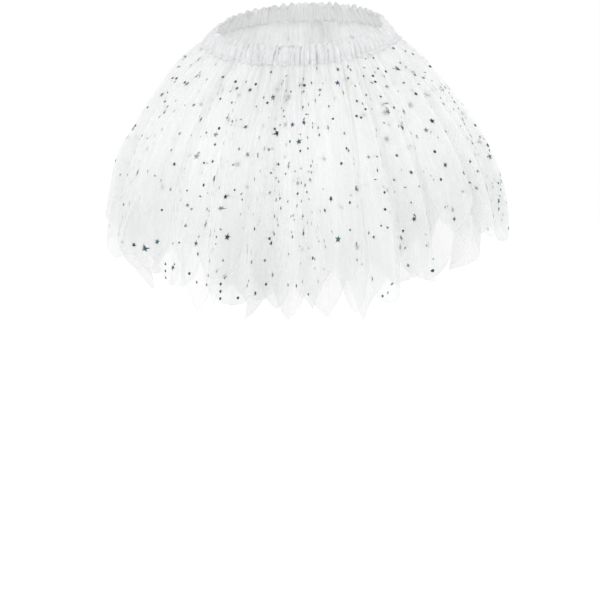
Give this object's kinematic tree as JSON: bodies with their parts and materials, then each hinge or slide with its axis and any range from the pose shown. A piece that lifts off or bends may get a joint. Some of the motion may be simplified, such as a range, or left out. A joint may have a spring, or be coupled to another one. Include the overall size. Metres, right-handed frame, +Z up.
{
  "type": "tutu",
  "caption": "Child's knee-length costume tutu in its worn, hollow form: ruched elastic waistband over layers of fluted net with ragged pointed hems, the outer two printed with foil stars.",
  "frame": {"origin": "centre of the waistband's middle line, in the hollow where the wearer's waist holds it", "axes": "+Z up along the wearer, -Y the front of the skirt, +X the right-hand side seen from the front"},
  "size_m": [0.4687, 0.394, 0.3405],
  "materials": {
    "satin": "satin, ruched",
    "net_starred": "sheer net with foil stars and dots",
    "net_plain": "sheer net"
  },
  "bodies": {
    "root": {"waistband": "satin", "net_outer": "net_starred", "net_middle": "net_starred", "net_inner": "net_plain"}
  },
  "joints": []
}
